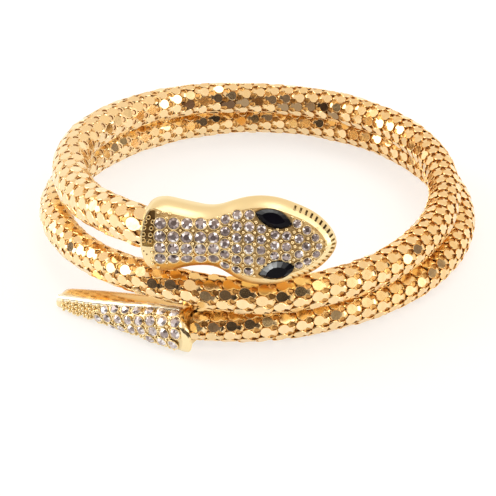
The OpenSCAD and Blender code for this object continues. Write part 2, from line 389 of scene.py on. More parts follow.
def scale_template():
    bm = bmesh.new()
    bmesh.ops.create_circle(bm, cap_ends=True, radius=LOBE, segments=LOBE_SIDES,
                            matrix=Matrix.Rotation(math.pi / 2, 4, "Z"))
    bmesh.ops.scale(bm, vec=(LOBE_LONGER, 1, 1), verts=bm.verts)
    grow_tongue(bm, [e for e in bm.edges if (e.verts[0].co.x + e.verts[1].co.x) / 2 < -BACK_SHARE * LOBE])
    bmesh.ops.recalc_face_normals(bm, faces=bm.faces)
    if max(bm.faces, key=lambda f: f.calc_area()).normal.z < 0:
        bmesh.ops.reverse_faces(bm, faces=bm.faces)
    bmesh.ops.solidify(bm, geom=bm.faces, thickness=SHEET)
    top = max(v.co.z for v in bm.verts)
    bmesh.ops.translate(bm, vec=(0, 0, -top), verts=bm.verts)
    bmesh.ops.bevel(bm, geom=[e for e in bm.edges if is_rim(e)], offset=RIM, offset_type="OFFSET", segments=1,
                    profile=0.5, affect="EDGES", material=-1)
    smooth_all(bm)
    for e in bm.edges:
        if len(e.link_faces) == 2 and e.calc_face_angle(0) > SHARP:
            e.smooth = sum(f.normal.z > 0.97 for f in e.link_faces) != 1
    for v in bm.verts:
        v.co.z -= v.co.y ** 2 / (2 * LOBE_BEND)
    return as_mesh("scale_template", bm)


scale = scale_template()
# how low each point lies, which sets where the painted shade and reflection of the low edges go
low_points = [mix(0, 1, -v.co.z / EDGE_DEPTH) for v in scale.vertices]
print("one scale:", len(scale.polygons), "faces,", sum(len(p.vertices) - 2 for p in scale.polygons),
      "triangles")

# %% [markdown]
# ## Rows of scales
# Ten rows run along the rope. They also wind round it, a few degrees for each millimetre, so that each
# neck comes out between two lobes and not from behind one. Where the rope bends, the steps are shorter
# inside and longer outside, and the scales are stretched with them. Toward the head the rope is thicker
# and its scales are longer.

# %% Rows of scales
ROWS = 10
ROW_SHIFT = 0.1
# azimuth, and how many degrees the rows wind for each millimetre there
TWIST = ((27, 2.6), (330, 3.0), (365, 4.0), (400, 3.0), (650, 2.6), (742, 1.8))
SCALES_FROM, SCALES_UNTIL = ROUTE_START + 0.3, ROUTE_END - 4


def table_value(table, x):
    """The value at x of a line through the (x, value) pairs of a table."""
    i = max([k for k in range(len(table) - 1) if table[k][0] <= x] or [0])
    (a, first), (b, second) = table[i:i + 2]
    return mix(first, second, (x - a) / (b - a))


def pitch_here(azimuth):
    return PITCH * (rope_radius(azimuth) / (BODY_RADIUS * MM)) ** 2


twists, pitch_counts = [0.0], [0.0]
for a, p, q in zip(azimuths, centres, centres[1:]):
    twists.append(twists[-1] + table_value(TWIST, a) * (q - p).length / MM)
    pitch_counts.append(pitch_counts[-1] + (q - p).length / pitch_here(a))


def station(count):
    """The azimuth that lies this many scale pitches along the rope, and how far the rows have wound."""
    i = max(0, bisect.bisect_right(pitch_counts, count) - 1)
    i = min(i, len(pitch_counts) - 2)
    share = (count - pitch_counts[i]) / (pitch_counts[i + 1] - pitch_counts[i])
    return azimuths[i] + share * STEP, mix(twists[i], twists[i + 1], share)


def row_places(behind=0.0, first=0):
    """Every place in the rows: the row, the azimuth, how far the rows have wound, and the pitch's angle."""
    for k in range(first, int(pitch_counts[-1]) + 2):
        for row in range(ROWS):
            count = k - behind + ROW_SHIFT * row
            if count >= pitch_counts[-1]:
                continue
            azimuth, wound = station(count)
            if SCALES_FROM <= azimuth <= SCALES_UNTIL:
                yield row, azimuth, wound, station(count + 0.5)[0] - station(count - 0.5)[0]


print("pitches along the rope:", round(pitch_counts[-1]))

# %% Place of a scale
SUNK = 0.27 * MM
TIP_LIFT = math.radians(1.0)
NECK_YAW = math.radians(-8)
TURN_SPLIT = 385


def scale_place(azimuth, degrees, pitch_angle, wobble):
    """The matrix that puts a scale on the rope at that azimuth, so many degrees round it."""
    along, inward, up = rope_axes(azimuth)
    w = math.radians(degrees)
    out = math.cos(w) * inward + math.sin(w) * up
    size = rope_radius(azimuth) / (BODY_RADIUS * MM)
    here = rope_centre(azimuth) + out * (rope_radius(azimuth) - SUNK * size)

    def shell_point(a):
        axes = rope_axes(a)
        return rope_centre(a) + rope_radius(a) * (math.cos(w) * axes[1] + math.sin(w) * axes[2])

    reach = (shell_point(azimuth + pitch_angle / 2) - shell_point(azimuth - pitch_angle / 2)).length
    stretch = reach / PITCH
    frame_at = Matrix((along, out.cross(along), out)).transposed().to_4x4()
    tilt = (Matrix.Rotation(-TIP_LIFT + wobble[0], 4, "Y") @ Matrix.Rotation(wobble[1], 4, "X")
            @ Matrix.Rotation(NECK_YAW + wobble[2], 4, "Z"))
    return Matrix.Translation(here) @ frame_at @ tilt @ Matrix.Diagonal((stretch, size, size, 1))


def turn_piece(kind, azimuth):
    """The piece that a scale or recess at that azimuth goes into."""
    return kind + ("_first_turn" if azimuth < TURN_SPLIT else "_second_turn")


print("places in the rows:", len(list(row_places())))

# %% [markdown]
# ## What each scale carries
# No two scales look alike, and each carries four numbers for its finish. The tone varies at random. The
# warmth says how much painted reflection of the rope or the head close by it gets, which turns it orange.
# The dark share paints a dark reflection in dull brown on scales along the inside at the back. The edge
# share says how much painted shade and reflection its low edges get. A ray tracer finds the reflections by
# itself, but at this size they need some help to read.

# %% What a scale carries
# azimuth, and how strongly a painted reflection of the rope there tints what is near it
ROPE_WARM = ((27, 1.2), (100, 1.2), (130, 0.15), (240, 0.15), (300, 0.6), (742, 0.6))
OWN_STRETCH = 90
WARM_REACH = 3.4 * MM
WARM_FROM = 0.15
HEAD_BALL = 5.2 * MM
HEAD_BALLS = ((-18, 0, -3.2), (-14, 0, -3.2), (-10, 0, -3.0), (-6, 2, -2.6), (-6, -2.5, -2.6),
              (-2, -3.5, -2.2), (2, -3, -2.0), (5.5, -2, -1.8))
# where a painted dark reflection lies: azimuths and leans of the scales, and how strong it is
DARK_REFLECTION_AZIMUTHS, DARK_REFLECTION_LEANS = (154, 208), (-14, 22)
DARK_REFLECTION_DEPTHS = (0.55, 0.75, 0.85, 1.0)
# millimetres from the left to the right, and the share of painted shade at the low edges there
EDGE_SHADE_SHARES = ((-24, 0.05), (-10, 0.3), (10, 0.5), (24, 0.85))
FRONT_EDGE_SHADE, FRONT_FROM, FRONT_REACH = 0.45, -6, 12

rope_balls = [(a, rope_centre(a), rope_radius(a), table_value(ROPE_WARM, a)) for a in azimuths[::8]]
head_balls = [(0, HEAD_PLACE @ (Vector(ball) * MM), HEAD_BALL, 1.0) for ball in HEAD_BALLS]


def warmth(here, out, azimuth, balls):
    """How much painted reflection of the rope or the head close by goes there, from 0 to 1."""
    found = 0.0
    for at, centre, radius, most in balls:
        if abs(at - azimuth) < OWN_STRETCH:
            continue
        gap = centre - here
        near = 1 - (gap.length - radius) / WARM_REACH
        turned = (out.dot(gap.normalized()) - WARM_FROM) / (1 - WARM_FROM)
        found = max(found, most * mix(0, 1, near) * mix(0, 1, turned))
    return min(found, 1)


# a painted dark reflection on scales inside the back of the coil, its strength drawn at random
def dark_reflection_share(out, azimuth, dice):
    lean = math.degrees(math.asin(out.z))
    if DARK_REFLECTION_AZIMUTHS[0] < azimuth < DARK_REFLECTION_AZIMUTHS[1] and DARK_REFLECTION_LEANS[0] < lean < DARK_REFLECTION_LEANS[1]:
        return dice.choice(DARK_REFLECTION_DEPTHS)
    return 0.0


# painted shade at the low edges, stronger to the right and toward the front
def edge_shade_share(here):
    in_front = FRONT_EDGE_SHADE * mix(0, 1, (FRONT_FROM - here.y / MM) / FRONT_REACH)
    return max(table_value(EDGE_SHADE_SHARES, here.x / MM), in_front)


print("balls that tint:", len(rope_balls + head_balls))

# %% [markdown]
# ## Laying the scales
# Each scale is a copy of the template, tipped a little at random, and that is what makes the mesh glitter.
# The random numbers are seeded, so every run lays the same mesh. Where the rope enters the head, the scales
# dive under the casting.

# %% Laying the scales
PITCH_WOBBLE, ROLL_WOBBLE, TURN_WOBBLE = (math.radians(a) for a in (1.8, 2.4, 1.4))
NECK_MOUTH, HEAD_BACK = 40, -3.4
MOUTH_UNTIL, MOUTH_DIVE = -25, math.radians(-9)


def put(bm, template, place):
    """Add a copy of the template mesh to the shape, at that place."""
    copy = template.copy()
    copy.transform(place)
    bm.from_mesh(copy)
    bpy.data.meshes.remove(copy)


def inside_head(place, azimuth, edge):
    """Whether a place lies past that edge, where the rope has entered the head, in head millimetres."""
    at = HEAD_PLACE.inverted() @ place.translation / MM
    return azimuth < NECK_MOUTH and at.x > edge and at.z > HEAD_BACK


def lay_scales():
    dice = random.Random(11)
    turns = {"scales_first_turn": bmesh.new(), "scales_second_turn": bmesh.new()}
    numbers = {kind: {name: [] for name in turns} for kind in ("tone", "warm", "worn", "edge")}
    for row, azimuth, wound, pitch_angle in row_places():
        wobble = [dice.gauss(0, spread) for spread in (PITCH_WOBBLE, ROLL_WOBBLE, TURN_WOBBLE)]
        place = scale_place(azimuth, 360 * row / ROWS + wound, pitch_angle, wobble)
        if inside_head(place, azimuth, MOUTH_UNTIL):
            place = place @ Matrix.Rotation(MOUTH_DIVE, 4, "Y")
        name = turn_piece("scales", azimuth)
        put(turns[name], scale, place)
        here, out = place.translation, place.col[2].to_3d().normalized()
        numbers["tone"][name].append(dice.random())
        numbers["warm"][name].append(warmth(here, out, azimuth, rope_balls + head_balls))
        numbers["worn"][name].append(dark_reflection_share(out, azimuth, dice))
        numbers["edge"][name].append(edge_shade_share(here))
    return turns, numbers


turns, scale_numbers = lay_scales()
print("scales:", {name: len(tones) for name, tones in scale_numbers["tone"].items()})

# %% [markdown]
# ## Gold of the scales
# The plate is a warm, slightly pink gold with a high polish. A metal's colour tints what it mirrors, so
# light that bounces between two scales turns orange. The tone shifts the colour and the roughness a little.
# The warmth blends in a painted reflection in a deeper orange, the edge share painted shade and
# reflection in brown, and the dark share a painted dark reflection in dull brown.

# %% Gold of the scales
GOLD_PALE = colour(0.985, 0.785, 0.48)
GOLD_WARM = colour(0.96, 0.72, 0.38)
GOLD_DEEP = colour(1.0, 0.64, 0.15)
# brown of the painted shade at the low edges
EDGE_SHADE_BROWN = colour(0.84, 0.43, 0.07)
# dull brown of the painted dark reflection
DARK_REFLECTION_BROWN = colour(0.17, 0.10, 0.055)
scale_gold = Finish("scale_gold")
tone, warm, worn, edge = (scale_gold.number(name) for name in ("tone", "warm", "worn", "edge"))
smear = scale_gold.noise(260, 3)
plain = scale_gold.blend(tone * 0.7 + smear * 0.3, GOLD_PALE, GOLD_WARM)
# warm is the painted reflection of the rope and head, edge the painted shade of the low edges
tinted = scale_gold.blend(edge, scale_gold.blend(warm, plain, GOLD_DEEP), EDGE_SHADE_BROWN)
scale_gold.shade({"Base Color": scale_gold.blend(worn, tinted, DARK_REFLECTION_BROWN), "Metallic": 1.0,
                  "Roughness": smear * 0.10 + tone * 0.05 + warm * 0.25 + 0.05,
                  "Normal": scale_gold.bump(scale_gold.noise(900, 1), 0.05)})
print("scale gold ready")

# %% [markdown]
# ## Two pieces of mesh
# The scales are joined into one mesh for each turn of the coil, which keeps each under the size that an
# export can carry. Every point carries its scale's numbers, so that one finish serves all scales, but only
# low points get the edge share. Each piece rides on the bracelet's one body, and these stand for the
# strand of the CAD model.

# %% Scale pieces
def carry(mesh, name, numbers, on="FACE"):
    """Give each face or point of the mesh its number."""
    mesh.attributes.new(name, "FLOAT", on).data.foreach_set("value", numbers)


def add_piece(name, mesh, finish, node=None):
    piece = bpy.data.objects.new(name, mesh)
    bpy.context.collection.objects.link(piece)
    mesh.materials.append(finish.owner)
    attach(piece, "root")
    if node:
        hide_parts(node)
    print(name, len(mesh.polygons), "faces")


for name, bm in turns.items():
    mesh = as_mesh(name, bm)
    for kind, numbers in scale_numbers.items():
        shares = low_points if kind == "edge" else [1.0] * len(scale.vertices)
        carry(mesh, kind, [number * share for number in numbers[name] for share in shares], "POINT")
    add_piece(name, mesh, scale_gold, "mesh_strand")

# %% [markdown]
# ## The core
# Under the scales lies a gold tube, painted brown as painted shade. On the real rope it is the scales' own
# tongues and a spring. It shows only as small points between the lobes. A curve with a bevel sweeps it,
# and it is then made a mesh.

# %% Core
CORE_SHARE = 0.85
CORE_EVERY = 12
CORE_SIDES = 16


def swept_tube(name, points, radii, sides):
    curve = bpy.data.curves.new(name, "CURVE")
    curve.dimensions = "3D"
    curve.bevel_depth = 1.0
    curve.bevel_resolution = max(sides // 4 - 1, 0)
    curve.use_fill_caps = True
    spline = curve.splines.new("POLY")
    spline.points.add(len(points) - 1)
    for point, place, radius in zip(spline.points, points, radii):
        point.co = (*place, 1)
        point.radius = radius
    holder = bpy.data.objects.new(name, curve)
    mesh = bpy.data.meshes.new_from_object(holder)
    bpy.data.objects.remove(holder)
    bpy.data.curves.remove(curve)
    return mesh


def clouded(name, scale, detail, tones, rough, metallic=1.0):
    """A finish that goes between two tones by a noise, which also varies how rough it is."""
    finish = Finish(name)
    cloud = finish.noise(scale, detail)
    finish.shade({"Base Color": finish.blend(cloud, *tones), "Roughness": cloud * rough[0] + rough[1],
                  "Metallic": metallic})
    return finish


core_azimuths = azimuths[::CORE_EVERY]
core_mesh = swept_tube("rope_core", [rope_centre(a) for a in core_azimuths],
                       [CORE_SHARE * rope_radius(a) for a in core_azimuths], CORE_SIDES)
# brown tones: painted shade of the deep gold between the lobes
core_shade_brown = clouded("rope_core_brown", 700, 3, (colour(0.45, 0.20, 0.05), colour(0.80, 0.45, 0.14)),
                     (0.2, 0.25))
add_piece("rope_core", core_mesh, core_shade_brown, "mesh_strand")

# %% [markdown]
# ## The recesses
# Between the narrow tongues the mesh has small round recesses, orange inside. Their colour is painted
# darker with depth and darkest at their walls, which is painted shade. Each is one short closed dish, a
# tapered disc whose top is inset twice. It is laid past its row, where two tongues and three lobes leave a
# gap, by the same rule as the scales. At the upper left of the photograph the recesses are shallow and
# bright, and only an arc of each wall stays dark. There the dishes lie higher, and all but that arc is
# painted pale, a painted reflection.

# %% Recess template
DISH_SIDES = 8
DISH_WIDE, DISH_FOOT, DISH_THICK = 0.84, 0.5, 0.25
DISH_RIM, DISH_WALL, DISH_DEEP = 0.34, 0.14, 0.15
# shares of the painted pale reflection for walls and floor; walls past ARC_FROM keep their painted shade
ARC_FROM, WALL_PALE_SHARE, FLOOR_PALE_SHARE = 0.1, 0.75, 0.9


def dish_template():
    """A dish. For each face its depth, 0 rim, 1 wall or 0.5 floor, and the share of painted pale reflection
    it can take.
    """
    bm = bmesh.new()
    bmesh.ops.create_cone(bm, cap_ends=True, segments=DISH_SIDES, radius1=DISH_FOOT, radius2=DISH_WIDE,
                          depth=DISH_THICK)
    top = max(bm.faces, key=lambda f: f.calc_center_median().z)
    bmesh.ops.inset_individual(bm, faces=[top], thickness=DISH_RIM)
    walls = bmesh.ops.inset_individual(bm, faces=[top], thickness=DISH_WALL, depth=-DISH_DEEP)["faces"]
    bmesh.ops.translate(bm, vec=(0, 0, -DISH_THICK / 2), verts=bm.verts)
    depths = [1.0 if f in walls else 0.5 if f == top else 0.0 for f in bm.faces]
    pale_shares = [FLOOR_PALE_SHARE if f not in walls else 0.0 if f.calc_center_median().x > ARC_FROM else WALL_PALE_SHARE
             for f in bm.faces]
    bmesh.ops.scale(bm, vec=(MM, MM, MM), verts=bm.verts)
    return as_mesh("dish_template", bm), depths, pale_shares


dish, dish_depths, dish_pale_shares = dish_template()
print("one dish:", len(dish.polygons), "faces")

# %% Laying the recesses
DISH_DOWN, DISH_DOWN_BRIGHT = 0.22, 0.04
BEHIND_LOBE, PAST_ROW = 0.41, 0.72
BRIGHT_FROM_X, BRIGHT_FROM_Y, BRIGHT_REACH = -14 * MM, -14 * MM, 14 * MM
DISH_EDGE = -22.4
dishes = {"recesses_first_turn": bmesh.new(), "recesses_second_turn": bmesh.new()}
pale_reflection_numbers = {name: [] for name in dishes}
for row, azimuth, wound, pitch_angle in row_places(BEHIND_LOBE, 1):
    place = scale_place(azimuth, 360 * (row + PAST_ROW) / ROWS + wound, pitch_angle, (TIP_LIFT, 0, -NECK_YAW))
    # how far into the upper left the place lies, where the dish lies higher and takes a painted pale
    # reflection
    bright = (mix(0, 1, (BRIGHT_FROM_X - place.translation.x) / BRIGHT_REACH)
              * mix(0, 1, (place.translation.y - BRIGHT_FROM_Y) / BRIGHT_REACH))
    place = place @ Matrix.Translation((0, 0, -mix(DISH_DOWN, DISH_DOWN_BRIGHT, bright) * MM))
    if not inside_head(place, azimuth, DISH_EDGE):
        name = turn_piece("recesses", azimuth)
        put(dishes[name], dish, place)
        pale_reflection_numbers[name] += [bright * gold for gold in dish_pale_shares]
print("recesses:", {name: len(numbers) // len(dish_pale_shares) for name, numbers in pale_reflection_numbers.items()})

# %% Painted shade of the recesses
DEPTH_SHADE_COLOURS = ((0.0, colour(0.97, 0.62, 0.22)), (0.3, colour(0.92, 0.47, 0.11)),
                 (0.5, colour(0.80, 0.33, 0.055)), (1.0, colour(0.24, 0.085, 0.018)))
recess_brown = Finish("recess_brown")
hollow = recess_brown.number("hollow")
# darker with depth is painted shade; bright blends in the painted pale reflection
brown = recess_brown.ramp(hollow + recess_brown.noise(900, 2) * 0.12, DEPTH_SHADE_COLOURS)
recess_brown.shade({"Base Color": recess_brown.blend(recess_brown.number("bright"), brown, GOLD_PALE),
                    "Roughness": hollow * 0.1 + 0.42, "Metallic": 1.0})
for name, bm in dishes.items():
    mesh = as_mesh(name, bm)
    carry(mesh, "hollow", dish_depths * (len(mesh.polygons) // len(dish_depths)))
    carry(mesh, "bright", pale_reflection_numbers[name])
    add_piece(name, mesh, recess_brown, "mesh_strand")

# %% [markdown]
# ## The two castings
# The head and the tail are cast in one piece each, then plated. Their shapes are right in the CAD model,
# but its meshes are loose triangles that shade as flat patches. A copy of each is merged, its gentle edges
# are smoothed and its sharp ones kept. The copy carries numbers for its finish: where the ground lies that
# the stones sit in, where a bottom is dark, and where it mirrors the rope close by.

# %% Castings
SMOOTH_BELOW = math.radians(34)
TAIL_PLACE = (Matrix.Translation(Vector((-11.5, -36.15, 0)) * MM + CENTRE_SHIFT)
              @ Matrix.Rotation(math.radians(180 - 26.4), 4, "Z"))
CASTING_REACH = 6.0 * MM


def merged_copy(node):
    bm = bmesh.new()
    bm.from_mesh(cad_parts[node].data)
    bmesh.ops.remove_doubles(bm, verts=bm.verts, dist=0.001 * MM)
    smooth_all(bm)
    for e in bm.edges:
        e.smooth = len(e.link_faces) == 2 and e.calc_face_angle(0) < SMOOTH_BELOW
    return bm


def nowhere(c, n):
    return 0.0


def casting(name, node, place, finish, own_azimuth, rules, shaded=nowhere):
    """The piece that stands for a CAD casting, and a tree for finding places on it. A rule gives a number
    from a place and its normal in the casting's own axes and millimetres."""
    bm = merged_copy(node)
    tree = BVHTree.FromBMesh(bm)
    mesh = as_mesh(name, bm)
    back, turned = place.inverted(), place.inverted().to_3x3()
    spots = {"FACE": [(back @ p.center / MM, turned @ p.normal) for p in mesh.polygons],
             "POINT": [(back @ v.co / MM, turned @ v.normal) for v in mesh.vertices]}
    for kind, (on, rule) in rules.items():
        carry(mesh, kind, [float(rule(*spot)) for spot in spots[on]], on)
    near = [(a, centre, radius + CASTING_REACH, 1.0) for a, centre, radius, _ in rope_balls]
    carry(mesh, "warm", [max(warmth(v.co, v.normal, own_azimuth, near), shaded(*spot))
                         for v, spot in zip(mesh.vertices, spots["POINT"])], "POINT")
    add_piece(name, mesh, finish, node)
    return tree


print("casting helpers ready")

# %% [markdown]
# ## Gold of the castings
# The castings are a paler, yellower gold than the mesh. Polished stretches are almost white. The ground
# between the stones is rough, because polish doesn't reach it, and painted darker and more orange for the
# shade in the deep gaps there. The bottoms of the channel and the notches are painted brown, which thins
# out down the channel; in the notches this brown is painted shade. Where a casting mirrors the rope close
# by, a painted reflection turns it orange, and the lower edge of the neck gets painted shade.

# %% Gold of the castings
PALE_GOLD = colour(0.94, 0.80, 0.48)
RUBBED_GOLD = colour(0.91, 0.73, 0.39)
# dark orange of the ground: rough gold, painted darker for the shade between the stones
GROUND_SHADE_GOLD = colour(0.34, 0.18, 0.05)
# painted brown of the channel and notch bottoms; in the notches it is painted shade
HOLLOW_BROWN = colour(0.23, 0.14, 0.055)
SHADE_GOLD = colour(0.80, 0.42, 0.08)
HEAD_ACROSS = HEAD_PLACE.to_3x3() @ Vector((0, 1, 0))
CHANNEL_FADE = [HEAD_ACROSS.dot(HEAD_PLACE @ Vector((0, y * MM, 0))) for y in (-1.3, 0.6)]


def casting_finish(name, roughness, warm_share):
    finish = Finish(name)
    ground, warm, cloud, grain = (finish.number("ground"), finish.number("warm"), finish.noise(180, 4),
                                  finish.noise(1500, 2))
    hollow = finish.number("hollow") * finish.step(finish.dot(finish.place(), HEAD_ACROSS), *CHANNEL_FADE)
    polished = finish.blend(cloud, PALE_GOLD, RUBBED_GOLD)
    paved = finish.blend(ground, polished, finish.blend(grain * 0.6, GROUND_SHADE_GOLD, RUBBED_GOLD))
    # warm blends in the painted reflection of the rope and the painted shade under the neck
    plain = finish.blend(warm * warm_share, paved, SHADE_GOLD)
    finish.shade({"Base Color": finish.blend(hollow, plain, HOLLOW_BROWN), "Metallic": 1.0,
                  "Roughness": cloud * 0.12 + ground * 0.15 + hollow * 0.3 + roughness,
                  "Normal": finish.bump(grain * ground + cloud * 0.25, 0.25)})
    return finish


head_gold = casting_finish("head_gold", roughness=0.27, warm_share=1.8)
tail_gold = casting_finish("tail_gold", roughness=0.10, warm_share=0.7)
print("casting gold ready")

# %% [markdown]
# ## The head and the tail
# The rules below say where each number is high. On the head, the ground is the domed face past the
# channel. The painted shade in the notches gets fainter toward the cheeks, as on the real head. The lower
# edge of the neck is shaded by the mesh under it, which is painted shade. On the tail, the ground is the
# outer skin past the collar.

# %% Head and tail castings
CHANNEL_FLOOR, CHANNEL_UNTIL = -0.6, -18.9
FACE_BELOW, GROUND_RISE = -0.05, 0.6
FLOOR_RISE, WALL_RISE, WALL_FACING, NEAR = 0.9, 0.3, 0.8, 0.05
NOTCH_X, NOTCH_Y, NOTCH_Z = 1.0, 0.6, (-2.2, -0.1)
NOTCH_FLOOR_RISE = 0.66
NOTCH_SHARES = ((1, 0.3), (3.5, 0.45), (6, 0.9), (8, 1.0))
SIDE_NOTCH_SHARE, SIDE_NOTCH_REACH = 0.45, 1.6
UNDER_NECK = ((-20.5, 0.0), (-18.5, 0.6), (-9, 0.6), (-4, 0.25), (2, 0.0))
UNDER_FROM, UNDER_REACH = 0.15, 0.4
TAIL_GROUND = 0.3
TAIL_MIDDLE, COLLAR_BAND, COLLAR_REACH = 3.57, 1.06, 2.07
TAIL_TIP, TAIL_FLAT = 25.2, 1.2


def head_ground(c, n):
    return c.z > FACE_BELOW and n.z > GROUND_RISE and c.x > CHANNEL_UNTIL


# where the painted brown goes: the channel bottom, and the notch walls and floors, where it is painted shade
def head_hollow(c, n):
    if c.x < CHANNEL_UNTIL + 0.1 and abs(c.z - CHANNEL_FLOOR) < NEAR and n.z > FLOOR_RISE:
        return 1.0
    round_the_snout = Vector((-c.y, c.x - NOTCH_X, 0)).normalized()
    wall = abs(n.z) < WALL_RISE and abs(n.dot(round_the_snout)) > WALL_FACING
    notch_floor = abs(n.z - NOTCH_FLOOR_RISE) < NEAR
    in_the_border = c.x > NOTCH_X and c.y > NOTCH_Y and NOTCH_Z[0] < c.z < NOTCH_Z[1]
    share = table_value(NOTCH_SHARES, c.x) * mix(SIDE_NOTCH_SHARE, 1, (c.y - NOTCH_Y) / SIDE_NOTCH_REACH)
    return share * (in_the_border and (wall or notch_floor))


def under_neck(c, n):
    return table_value(UNDER_NECK, c.x) * mix(0, 1, (-n.y - UNDER_FROM) / UNDER_REACH)


def tail_ground(c, n):
    level = (c.z - TAIL_MIDDLE) / TAIL_MIDDLE
    collar_edge = COLLAR_BAND - COLLAR_REACH * (1 - level * level)
    return TAIL_GROUND * (collar_edge < c.x < TAIL_TIP and c.y > TAIL_FLAT and n.z > -0.9)


head_tree = casting("head_casting", "head", HEAD_PLACE, head_gold, ROUTE_START,
                    {"ground": ("FACE", head_ground), "hollow": ("FACE", head_hollow)}, under_neck)
tail_tree = casting("tail_casting", "tail_cap", TAIL_PLACE, tail_gold, ROUTE_END,
                    {"ground": ("POINT", tail_ground), "hollow": ("FACE", nowhere)})

# %% [markdown]
# ## Places for the stones
# A stone sits square on the surface under it. On the head a place is given in millimetres along and
# across the face, and a ray shot straight in finds the surface. The tail is nearly round in section, so
# there a place is a distance along it and a distance over its skin, measured outward from its ridge.

# %% Seats on the head
HEAD_ABOVE = 8
NORMAL_STEPS = ((0, 0), (0.45, 0), (-0.45, 0), (0, 0.45), (0, -0.45))
ALONG = Vector((1, 0, 0))


def head_point(x, y):
    start = HEAD_PLACE @ (Vector((x, y, HEAD_ABOVE)) * MM)
    point, out, _, _ = head_tree.ray_cast(start, HEAD_PLACE.to_3x3() @ Vector((0, 0, -1)))
    return point, out


def head_seat(x, y):
    """The point of the face at x, y, the way out of it, and the way along the head."""
    around = [head_point(x + dx, y + dy)[1] for dx, dy in NORMAL_STEPS]
    out = sum((n for n in around if n), Vector()).normalized()
    return head_point(x, y)[0], out, HEAD_PLACE.to_3x3() @ ALONG


def seat_matrix(seat, lift, size, turn):
    point, out, lead = seat
    side = out.cross(lead).normalized()
    basis = Matrix((side.cross(out), side, out)).transposed().to_4x4()
    return (Matrix.Translation(point + out * lift) @ basis @ Matrix.Rotation(turn, 4, "Z")
            @ Matrix.Scale(size, 4))


print("face point at 0, 0:", [round(v / MM, 2) for v in head_point(0, 0)[0]])

# %% Seats on the tail
TAIL_ABOVE = 14
SKIN_ANGLES = range(112, -76, -4)
# along the tail, in millimetres: the side and the height of its middle line, and its ridge beside that
TAIL_SIDE, TAIL_HEIGHT = ((0, 0.0), (20, -0.5)), ((0, 3.5), (25, 1.6))
RIDGE_LINE = ((-2, 0.95), (1.8, 1.0), (8.8, 1.46), (16.5, 1.55), (24.5, 1.07), (26, 0.9))
skins = {}


def tail_skin(x):
    """Points of the tail's section at x, from over the ridge and down the outside, with their arcs."""
    key = round(x, 2)
    if key in skins:
        return skins[key]
    middle = Vector((key, table_value(TAIL_SIDE, key), table_value(TAIL_HEIGHT, key)))
    found = []
    for angle in SKIN_ANGLES:
        ray = Vector((0, math.cos(math.radians(angle)), math.sin(math.radians(angle))))
        start = TAIL_PLACE @ ((middle + TAIL_ABOVE * ray) * MM)
        point, out, _, _ = tail_tree.ray_cast(start, TAIL_PLACE.to_3x3() @ -ray)
        if point:
            found.append((point, out))
    back, across = TAIL_PLACE.inverted(), table_value(RIDGE_LINE, key)
    first = min(range(len(found) // 2), key=lambda k: abs((back @ found[k][0]).y / MM - across))
    skins[key] = arcs = [(0.0, *found[first])]
    for (p, _), (q, out) in zip(found[first:], found[first + 1:]):
        arcs.append((arcs[-1][0] + (q - p).length / MM, q, out))
    return arcs


def tail_seat(x, over):
    """The point of the tail at x, that far over its skin from the ridge, the way out, and the way along."""
    arcs = tail_skin(x)
    i = max([k for k in range(len(arcs) - 1) if arcs[k][0] <= over] or [0])
    (a, p, n), (b, q, m) = arcs[i:i + 2]
    share = mix(0, 1, (over - a) / max(b - a, 1e-6))
    return p.lerp(q, share), n.lerp(m, share).normalized(), TAIL_PLACE.to_3x3() @ ALONG


print("skin of the tail at 5:", round(tail_skin(5)[-1][0], 1), "mm across")

# %% [markdown]
# ## The crystals
# The small stones are foil-backed glass cut as simple brilliants: a small flat table, sixteen crown facets
# and a cone below. Each sits in a thin gold cup. A ring of edges is extruded up to the table and down to the
# point, and the cup is a round wire spun about the axis.

# %% Crystal template
GEM_SIDES = 8
TABLE_SHARE = 0.46
CROWN_RISE = 0.36
GIRDLE_DROP = 0.08
PAVILION_DROP = 0.55


def grown_ring(bm, edges, share, rise, turn):
    """Extrude a ring of edges to a new ring, scaled, raised and turned."""
    grown = bmesh.ops.extrude_edge_only(bm, edges=edges)["geom"]
    verts = of_kind(BMVert, grown)
    bmesh.ops.rotate(bm, cent=(0, 0, 0), matrix=Matrix.Rotation(turn, 3, "Z"), verts=verts)
    bmesh.ops.scale(bm, vec=(share, share, 1), verts=verts)
    bmesh.ops.translate(bm, vec=(0, 0, rise), verts=verts)
    return of_kind(BMEdge, grown)


def gem_template():
    bm = bmesh.new()
    bmesh.ops.create_circle(bm, radius=1, segments=GEM_SIDES)
    girdle = list(bm.edges)
    table = grown_ring(bm, girdle, TABLE_SHARE, CROWN_RISE, math.pi / GEM_SIDES)
    bmesh.ops.triangulate(bm, faces=bm.faces)
    bmesh.ops.contextual_create(bm, geom=table)
    lower = grown_ring(bm, girdle, 1, -GIRDLE_DROP, 0)
    grown_ring(bm, lower, 0.001, -PAVILION_DROP, 0)
    bmesh.ops.remove_doubles(bm, verts=bm.verts, dist=0.01)
    bmesh.ops.recalc_face_normals(bm, faces=bm.faces)
    return as_mesh("gem_template", bm)


gem = gem_template()
gem_is_table = [len(p.vertices) == GEM_SIDES and p.normal.z > 0.9 for p in gem.polygons]
print("one crystal:", len(gem.polygons), "facets, tables:", sum(gem_is_table))

# %% Cup template
CUP_RADIUS, CUP_WIRE, CUP_SIDES = 1.0, 0.13, 12
RING_WIRE_SIDES = 4


